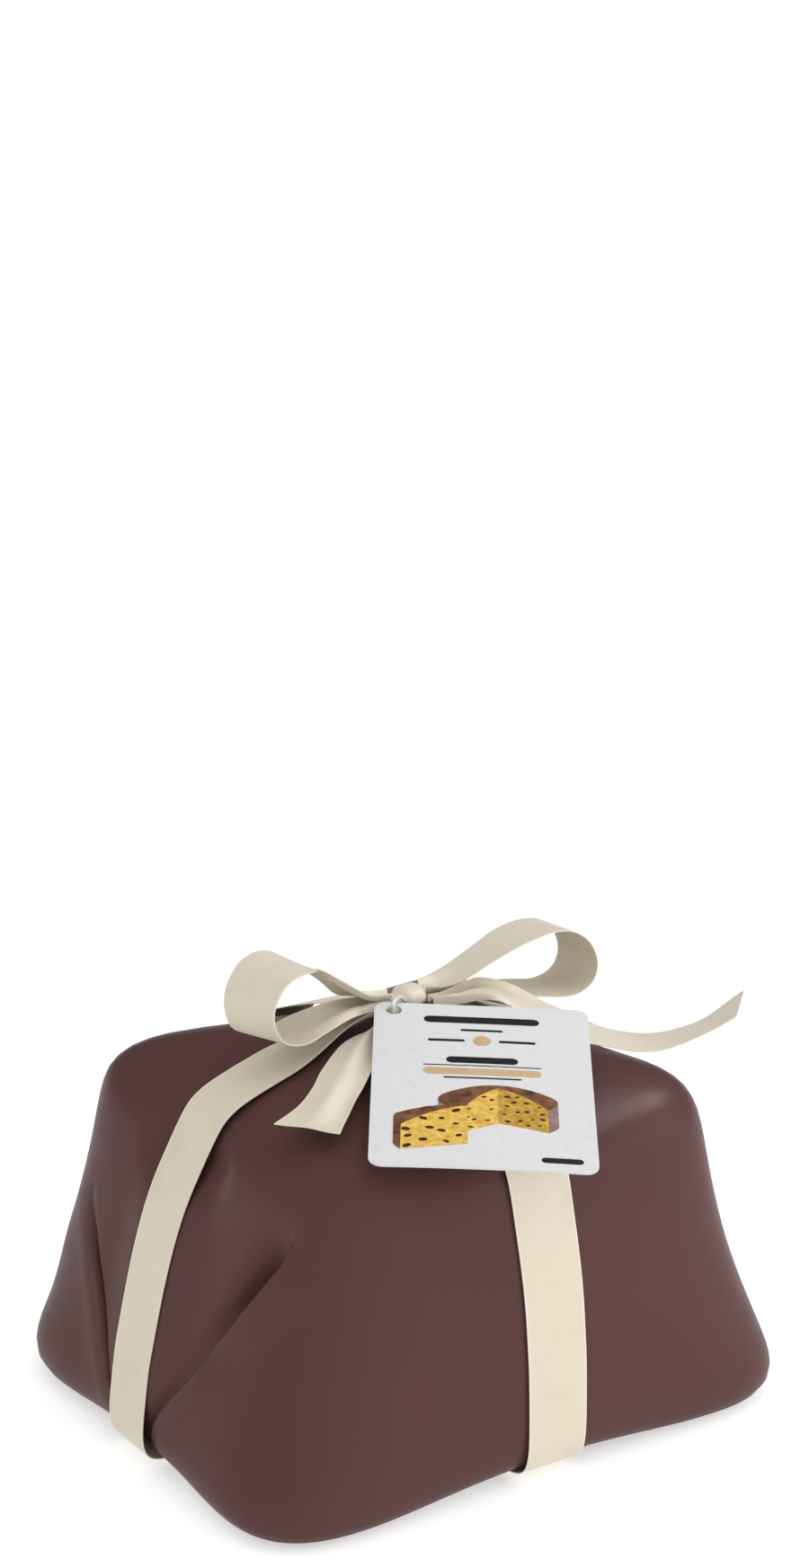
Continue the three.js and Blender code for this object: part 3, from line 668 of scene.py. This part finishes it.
# bow: middle of the ribbon, direction across it, width
bow = {
    "loopRight": [
        (11.5, 3.2, 153.5, 0, 1, 0.1, 7.4),
        (16, 3, 153.8, 0, 1, 0.1, 11),
        (20, 2.8, 154.6, 0, 1, 0.02, 15),
        (25, 2, 156.4, 0, 1, -0.08, 19),
        (30, 1, 159.1, 0, 1, -0.17, 22.4),
        (36, 0.5, 161.9, 0, 1, -0.19, 24.4),
        (43, 0, 165, 0, 1, -0.16, 25),
        (50, 0, 167.4, 0, 1, -0.1, 25),
        (57, 0, 168.8, 0, 1, -0.08, 25),
        (64, 0, 169.1, 0, 1, -0.07, 25),
        (71, 0, 167.4, 0, 1, -0.04, 25),
        (77.5, 0, 162.5, 0, 1, 0, 25),
        (80.8, 0, 154.2, 0, 1, 0, 25),
        (78, 0, 147, 0, 1, 0, 25),
        (69, 0, 143.9, 0, 1, 0, 25),
        (55, 0.5, 146, 0, 1, 0, 24),
        (40, 1.5, 148.6, 0, 1, 0, 20),
        (27, 3.5, 150.2, 0, 1, 0, 14),
        (11.6, 4.8, 150.5, 0, 1, 0, 6.6),
    ],
    "loopLeft": [
        (-3.1, 4, 153.7, 0, 1, 0, 7.6),
        (-13, 4, 155.2, 0.1, 0.9, -0.1, 12),
        (-24, 3, 160.5, 0.35, 0.8, -0.48, 18),
        (-35, 0, 168.5, 0.4, 0.8, -0.4, 24),
        (-46, 0, 174.8, -0.1, 1, 0.06, 25),
        (-56, 0, 173.2, -0.2, 1, 0.12, 25),
        (-62.2, 0, 165.4, -0.26, 1, 0.04, 25),
        (-63, 0, 157, -0.25, 1, -0.04, 25),
        (-59, 0, 149.6, -0.25, 1, -0.04, 25),
        (-50, 0, 147.4, -0.2, 1, -0.05, 25),
        (-38, 1, 149.8, 0, 1, 0, 22),
        (-24, 3, 151.4, 0, 1, 0, 15),
        (-14, 4, 151, 0, 1, 0, 10),
        (-3.4, 4.5, 150.6, 0, 1, 0, 7),
    ],
    "tailRight": [
        (11.2, -3.6, 150.8, 0, 1, 0, 4),
        (16, -5.2, 151, 0, 1, 0.05, 6),
        (21, -7, 151.8, 0, 1, 0.1, 9),
        (25.5, -9, 153.1, 0, 1, 0.15, 11.5),
        (31, -12, 153.5, 0, 1, 0.22, 16.5),
        (37, -15.3, 150.8, 0, 1, 0.4, 19.5),
        (43, -18.8, 147.2, 0, 1, 0.52, 21.6),
        (49, -21.8, 143.5, 0, 1, 0.5, 22.2),
        (55, -24.2, 140.1, 0, 1, 0.42, 22.5),
        (61, -25.3, 137.4, 0, 1, 0.34, 23),
        (67, -25.3, 134.8, 0, 1, 0.27, 23.6),
        (73, -24.5, 131.9, 0, 1, 0.22, 24.5),
        (79, -22.8, 128.9, 0, 1, 0.17, 25),
        (88, -20, 124.9, 0, 1, 0.1, 25),
        (100, -15.5, 120.6, 0, 1, 0.02, 25),
        (110, -14.3, 118.9, 0, 1, -0.1, 25),
        (120, -13.5, 118.4, 0, 1, -0.22, 25.4),
        (130, -13, 118.9, 0.08, 1, -0.3, 26),
        (140, -12.8, 120.5, 0.4, 1, -0.3, 28),
        (152, -12.8, 125.2, 0.7, 0.7, -0.03, 35),
    ],
    "tailFront": [
        (-2.6, -3, 148.9, 0.3, -0.95, 0, 5),
        (-9, -5.5, 146.6, 0.25, -0.97, 0, 6.6),
        (-14.5, -8.6, 145.8, 0.25, -0.97, 0, 10),
        (-21, -12.4, 145.2, 0.22, -0.97, -0.02, 14),
        (-28, -17.4, 144.8, 0.28, -0.96, -0.02, 16.6),
        (-36, -24.5, 144, 0.28, -0.96, -0.02, 18.5),
        (-47, -34.6, 142.5, 0.3, -0.95, -0.02, 19.5),
        (-55, -42.1, 141.3, 0.33, -0.94, -0.02, 18.6),
        (-62.6, -48.8, 140, 0.44, -0.9, -0.02, 18.8),
        (-69, -53.7, 139.1, 0.5, -0.87, -0.02, 20.5),
        (-76, -58.3, 138, 0.61, -0.79, -0.02, 23.5),
    ],
    "fineness": 11,
}


def tieBow(b):
    for name, node, key, phase, pleats, pinch in (
            ("bowLoopRight", "bow_loop_right", "loopRight", 0.62, 1.1, 0.9),
            ("bowLoopLeft", "bow_loop_left", "loopLeft", 0.35, 1.3, 0.8),
            ("bowTailRight", "bow_tail_right", "tailRight", 0.2, 1.2, 0.7),
            ("bowTailFront", "bow_tail_front", "tailFront", 0.05, 1.0, 1.35)):
        rows = throughPoints(b[key], b["fineness"])
        layRibbon(name, rows[:, 0:3], rows[:, 3:6], rows[:, 6], node, phase=phase, pleats=pleats,
                  pinch=pinch)


tieBow(bow)


def tieKnot():
    # a full round lobe on the right, a lower saddle on the left where the loop comes out
    rows, cols = 61, 64
    v = np.linspace(-1, 1, rows)[:, None]
    u = np.linspace(0, 2 * np.pi, cols, endpoint=False)[None, :]
    body = np.clip(1 - np.abs(v) ** 4.5, 0.06, 1) ** 0.5
    lobe = 0.66 + 0.34 * smooth(-0.62, 0.0, v + 0.16 * np.sin(u - 0.5))
    groove = 1 - 0.07 * np.exp(-((v + 0.42 + 0.2 * np.sin(u - 0.4)) / 0.11) ** 2)
    wrap = 1 + 0.03 * np.cos(2 * u + 1.5 * v) + 0.02 * np.sin(3 * u - 2.0 * v)
    x = knot["long"] * v + 0.9 * np.sin(u) * (1 - v * v)
    y = knot["deep"] * np.cos(u) * body * lobe * groove * wrap
    z = knot["tall"] * np.sin(u) * body * lobe * groove * wrap - 0.9 * smooth(0.1, -0.9, v)
    points = np.stack(np.broadcast_arrays(x, y, z), axis=-1) + np.array(knot["at"])
    weave = np.stack(np.broadcast_arrays(12.5 + 12 * v, 5.5 * u), axis=-1)
    faces = ringFaces(rows, cols, False, True, True)
    piece = solidFrom("bowKnot", points.reshape(-1, 3), faces, "ribbon", weave=weave.reshape(-1, 2),
                      creaseAngle=80)
    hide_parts("bow_knot")


tieKnot()
print("bow tied")

# hanging tag
tag = {"wide": 76.6, "long": 101.0, "thick": 0.7, "corner": 5.0, "at": (-12.5, -2.5, 154.0),
       "turn": -34.5, "slope": 12.5, "roll": 2.4, "arch": 0.6, "hole": (7, 5), "holeRadius": 2.8}


def tagAxes(t):
    turn, slope, roll = (math.radians(t[k]) for k in ("turn", "slope", "roll"))
    down = Vector((math.sin(turn) * math.cos(slope), -math.cos(turn) * math.cos(slope), -math.sin(slope)))
    flat = Vector((math.cos(turn), math.sin(turn), 0))
    side = flat * math.cos(roll) + flat.cross(down) * math.sin(roll)
    up = down.cross(side).normalized()
    return np.array(side), np.array(down), np.array(up)


tagSide, tagDown, tagUp = tagAxes(tag)


def onTag(x, y, h=0.0):
    x = np.asarray(x, float)
    y = np.asarray(y, float)
    half = tag["wide"] / 2
    lift = h - tag["arch"] * ((x - half) / half) ** 2 * smooth(0, 30, y)
    return (np.array(tag["at"]) + np.multiply.outer(x, tagSide) + np.multiply.outer(y, tagDown)
            + np.multiply.outer(lift, tagUp))


def cutTag(t):
    r = t["corner"]
    steps = np.array([0, 0.15, 0.5, 1.0, 1.7, 2.6, 3.7, 5.0])
    ys = np.concatenate([steps, np.linspace(5, t["long"] - 5, 60)[1:-1], t["long"] - steps[::-1]])
    xs = np.linspace(0, 1, 50)
    edge = np.minimum(ys, t["long"] - ys)
    inset = np.where(edge < r, r - np.sqrt(np.clip(r * r - (r - edge) ** 2, 0, None)), 0)
    x = inset[:, None] + xs[None, :] * (t["wide"] - 2 * inset[:, None])
    y = np.broadcast_to(ys[:, None], x.shape)
    n, m = x.shape
    top = onTag(x.ravel(), y.ravel(), np.full(x.size, t["thick"] / 2))
    low = onTag(x.ravel(), y.ravel(), np.full(x.size, -t["thick"] / 2))
    faces = []
    size = n * m
    for i in range(n - 1):
        for j in range(m - 1):
            a, b, c, d = i * m + j, i * m + j + 1, (i + 1) * m + j + 1, (i + 1) * m + j
            faces.append((a, d, c, b))
            faces.append((size + a, size + b, size + c, size + d))
    rim = ([j for j in range(m)] + [i * m + m - 1 for i in range(1, n)]
           + [(n - 1) * m + j for j in range(m - 2, -1, -1)] + [i * m for i in range(n - 2, 0, -1)])
    for k, a in enumerate(rim):
        b = rim[(k + 1) % len(rim)]
        faces.append((a, b, size + b, size + a))
    piece = solidFrom("hangTag", np.vstack([top, low]), faces, "card", creaseAngle=50)
    punch = bpy.data.meshes.new("punch")
    ring = np.linspace(0, 2 * np.pi, 40, endpoint=False) + 0.037
    hx, hy = t["hole"]
    ends = [onTag(hx + t["holeRadius"] * np.cos(ring), hy + t["holeRadius"] * np.sin(ring),
                  np.full(40, h)) for h in (-3.0, 3.0)]
    punch.from_pydata((np.vstack(ends) * mm).tolist(), [], ringFaces(2, 40, False, True, True))
    tool = bpy.data.objects.new("punch", punch)
    bpy.context.scene.collection.objects.link(tool)
    cut = piece.modifiers.new("hole", "BOOLEAN")
    cut.operation = "DIFFERENCE"
    cut.solver = "EXACT"
    cut.object = tool
    bpy.context.view_layer.update()
    solid = bpy.data.meshes.new_from_object(piece.evaluated_get(bpy.context.evaluated_depsgraph_get()))
    piece.modifiers.clear()
    piece.data = solid
    bpy.data.objects.remove(tool)
    bpy.data.meshes.remove(punch)
    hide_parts("hang_tag")


cutTag(tag)


def inkShape(shapes, name, finish, lift):
    # every shape lies between a top and a bottom line and is a thin film on the card
    points = []
    faces = []
    for xs, tops, lows in shapes:
        first = len(points)
        n = len(xs)
        face = np.full(n, tag["thick"] / 2)
        rims = [onTag(xs, tops, face + lift), onTag(xs, lows, face + lift),
                onTag(xs, lows, face - 0.05), onTag(xs, tops, face - 0.05)]
        points += np.stack(rims, axis=1).reshape(-1, 3).tolist()
        faces += [tuple(first + k for k in f) for f in ringFaces(n, 4, False, True, True)]
    piece = solidFrom(name, points, faces, finish, creaseAngle=30)


def bar(x, y, wide, high):
    r = min(0.4 * high, 0.4 * wide)
    xs = np.array([0, 0.3, 1.0]) * r
    xs = np.concatenate([xs, [wide * 0.5], wide - xs[::-1]])
    drop = np.array([0.9, 0.35, 0, 0, 0, 0.35, 0.9]) * r
    return x + xs, y + drop, y + high - drop


def oval(x, y, rx, ry, lean=0.0):
    a = np.linspace(np.pi * 0.96, np.pi * 0.04, 13)
    xs = x + rx * np.cos(a)
    return xs, y - ry * np.sin(a) + lean * (xs - x), y + ry * np.sin(a) + lean * (xs - x)


tagPrint = {
    "middle": 38.3,
    # height on the card, whole length, thickness, how many bars, space between them, ink
    "lines": [(7.9, 41, 4.2, 1, 0, "dark"), (16.0, 15, 1.3, 1, 0, "dark"), (22.8, 38, 1.5, 2, 12, "dark"),
              (34.0, 25, 4.0, 1, 0, "dark"), (39.2, 41, 0.6, 1, 0, "dark"), (41.2, 41, 4.2, 1, 0, "gold"),
              (46.8, 27, 0.9, 1, 0, "dark")],
    "dot": (23.5, 3.2),
    "cornerBar": (57.5, 93.4, 14, 3.0),
}


def printTag(p):
    # plain bars stand where a card has its words
    dotHeight, dotRadius = p["dot"]
    inks = {"dark": [bar(*p["cornerBar"])], "gold": [oval(p["middle"], dotHeight, dotRadius, dotRadius)]}
    for y, length, high, count, space, ink in p["lines"]:
        each = (length - space * (count - 1)) / count
        for k in range(count):
            left = p["middle"] - length / 2 + k * (each + space)
            inks[ink].append(bar(left, y, each, high))
    inkShape(inks["dark"], "tagDarkPrint", "darkInk", 0.06)
    inkShape(inks["gold"], "tagGoldPrint", "goldInk", 0.06)


tagPicture = {
    "seed": 7,
    "tilt": 0.38,
    # axis on the card, radius, side height, crown, opening left and right of the front in degrees
    "loaf": {"axis": (43.5, 74.5), "radius": 20.5, "high": 13.5, "crown": 7.5, "left": 38, "right": 56,
             "rind": 1.0},
    # the slice keeps the left part only, so it has a back angle too
    "slice": {"axis": (33.0, 87.2), "radius": 25, "high": 14.5, "crown": 8.0, "left": 64, "back": 104,
              "rind": 1.7},
    "fruit": {"loafLeft": (2, 4, 0.95), "loafRight": (4, 4, 1.0), "slice": (4, 3, 1.5)},
}


def drawPart(v, tilt, rng):
    # a round loaf cut from its axis: its top, its cut walls and what is left of its round side
    cx, cy = v["axis"]
    radius = v["radius"]
    right = v.get("right")
    xs = cx + radius * np.sin(np.linspace(-np.pi / 2, np.pi / 2 if right else 0, 90 if right else 60))
    corners = [-math.radians(v["left"]), 0] + ([math.radians(right)] if right else [])
    xs = np.unique(np.concatenate([xs, cx + radius * np.sin(corners)]).round(4))
    side = np.abs(xs - cx)
    half = np.sqrt(np.clip(radius ** 2 - side ** 2, 0, None))
    angle = np.radians(np.where(xs < cx, v["left"], right or v["left"]))
    cut = side / np.tan(angle)
    near = np.minimum(half, cut)
    far = -half
    if "back" in v:
        far = np.maximum(far, side / math.tan(math.radians(v["back"])))

    def top(depth):
        rise = v["high"] + v["crown"] * (1 - (side ** 2 + depth ** 2) / radius ** 2)
        return cy + tilt * depth - rise

    crest = np.min([top(far + (near - far) * t) for t in np.linspace(0, 1, 15)], axis=0)
    edge = top(near)
    base = cy + tilt * near
    crest += rng.normal(0, 0.08, len(xs))
    crust = (xs, np.minimum(crest, edge - v["rind"]), edge)
    onWall = cut <= half + 0.01
    onRound = cut >= half - 0.01
    walls = [(xs[on], edge[on], base[on]) for on in (onWall & (xs <= cx), onWall & (xs >= cx))]
    rounds = [(xs[on], edge[on], base[on]) for on in (onRound & (xs < cx), onRound & (xs > cx))]
    return crust, walls, [r for r in rounds if len(r[0]) > 2]


def scatterFruit(shape, across, down, size, rng):
    # raisins spread evenly, each a little off its place
    xs, high, low = shape
    fruit = []
    for i in range(across):
        for j in range(down):
            x = xs[0] + (xs[-1] - xs[0]) * (i + 0.5 + rng.uniform(-0.26, 0.26)) / across
            y0 = np.interp(x, xs, high)
            y1 = np.interp(x, xs, low)
            share = (j + 0.5 + 0.25 * (-1) ** i + rng.uniform(-0.12, 0.12)) / down
            y = y0 + (y1 - y0) * min(max(share, 0.1), 0.9)
            w = size * rng.uniform(0.7, 1.1)
            fruit.append(oval(x, y, w, w * rng.uniform(0.5, 0.75), rng.uniform(-0.4, 0.3)))
    return fruit


def drawLoaf(p):
    # every layer lies a little above the one before it
    rng = np.random.default_rng(p["seed"])
    crust, walls, rounds = drawPart(p["loaf"], p["tilt"], rng)
    inkShape(rounds, "tagPictureCase", "pictureCase", 0.05)
    inkShape([crust], "tagPictureCrust", "pictureCrust", 0.07)
    inkShape(walls[:1], "tagPictureCrumbLit", "pictureCrumb", 0.09)
    inkShape(walls[1:], "tagPictureCrumbShade", "pictureCrumbShade", 0.09)
    fruit = scatterFruit(walls[0], *p["fruit"]["loafLeft"], rng)
    fruit += scatterFruit(walls[1], *p["fruit"]["loafRight"], rng)
    inkShape(fruit, "tagPictureLoafFruit", "pictureFruit", 0.11)
    sliceTop, sliceWalls, sliceRound = drawPart(p["slice"], p["tilt"], rng)
    inkShape(sliceRound, "tagPictureSliceRound", "pictureCrust", 0.12)
    inkShape([sliceTop], "tagPictureSliceCrust", "pictureCrust", 0.13)
    inkShape(sliceWalls[:1], "tagPictureSlice", "pictureCrumb", 0.15)
    inkShape(scatterFruit(sliceWalls[0], *p["fruit"]["slice"], rng), "tagPictureFruit", "pictureFruit", 0.17)


printTag(tagPrint)
drawLoaf(tagPicture)
print("tag printed")

cord = {"thick": 1.5}


def hangCord(c):
    route = np.array([(1.6, -1.4, 151.6), (-0.8, -4.0, 153.3), (-3.4, -5.3, 155.2), (-7.2, -8.2, 155.8),
                      (-9.8, -10.2, 154.9), onTag(7, 4.8, 0.9), onTag(7, 5.3, -1.4), onTag(8.2, 3.4, -2.4),
                      onTag(10.5, 0.6, -2.9), (2, -5, 148.6)])
    line = throughPoints(route, 6) * mm
    curve = bpy.data.curves.new("tagCord", "CURVE")
    curve.dimensions = "3D"
    spline = curve.splines.new("POLY")
    spline.points.add(len(line) - 1)
    for point, place in zip(spline.points, line):
        point.co = (*place, 1.0)
    curve.bevel_depth = c["thick"] * mm / 2
    curve.bevel_resolution = 5
    curve.use_fill_caps = True
    curve.materials.append(finishes["cord"])
    piece = bpy.data.objects.new("tagCord", curve)
    bpy.context.scene.collection.objects.link(piece)
    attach(piece, "root")
    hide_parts("tag_cord")


hangCord(cord)

# what the parcel holds keeps its shape and takes its finish here
inside = {"panettone_loaf": "crust", "baking_case": "baking", "food_bag": "film", "bag_tie": "tie",
          "cake_board": "gold"}
for node, finish in inside.items():
    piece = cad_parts[node]
    piece.data.materials.clear()
    piece.data.materials.append(finishes[finish])
print("inside dressed")


table = {"half": 6.0, "drop": 0.0004, "glow": 0.50}


def layTable(t):
    # a translucent white table, lit a little from below
    finish = mottledFinish("lightTable", grey(0.64), grey(0.66), 3.0, 0.9, 0.0, 0.0001, specular=0.0)
    shader = finish.node_tree.nodes["Principled BSDF"]
    shader.inputs["Emission Color"].default_value = (1.0, 1.0, 1.0, 1.0)
    shader.inputs["Emission Strength"].default_value = t["glow"]
    corners = [(sx * t["half"], sy * t["half"], -t["drop"])
               for sx, sy in ((-1, -1), (1, -1), (1, 1), (-1, 1))]
    mesh = bpy.data.meshes.new("table")
    mesh.from_pydata(corners, [], [(0, 1, 2, 3)])
    mesh.materials.append(finish)
    sheet = bpy.data.objects.new("table", mesh)
    bpy.context.scene.collection.objects.link(sheet)


layTable(table)
print("table laid")
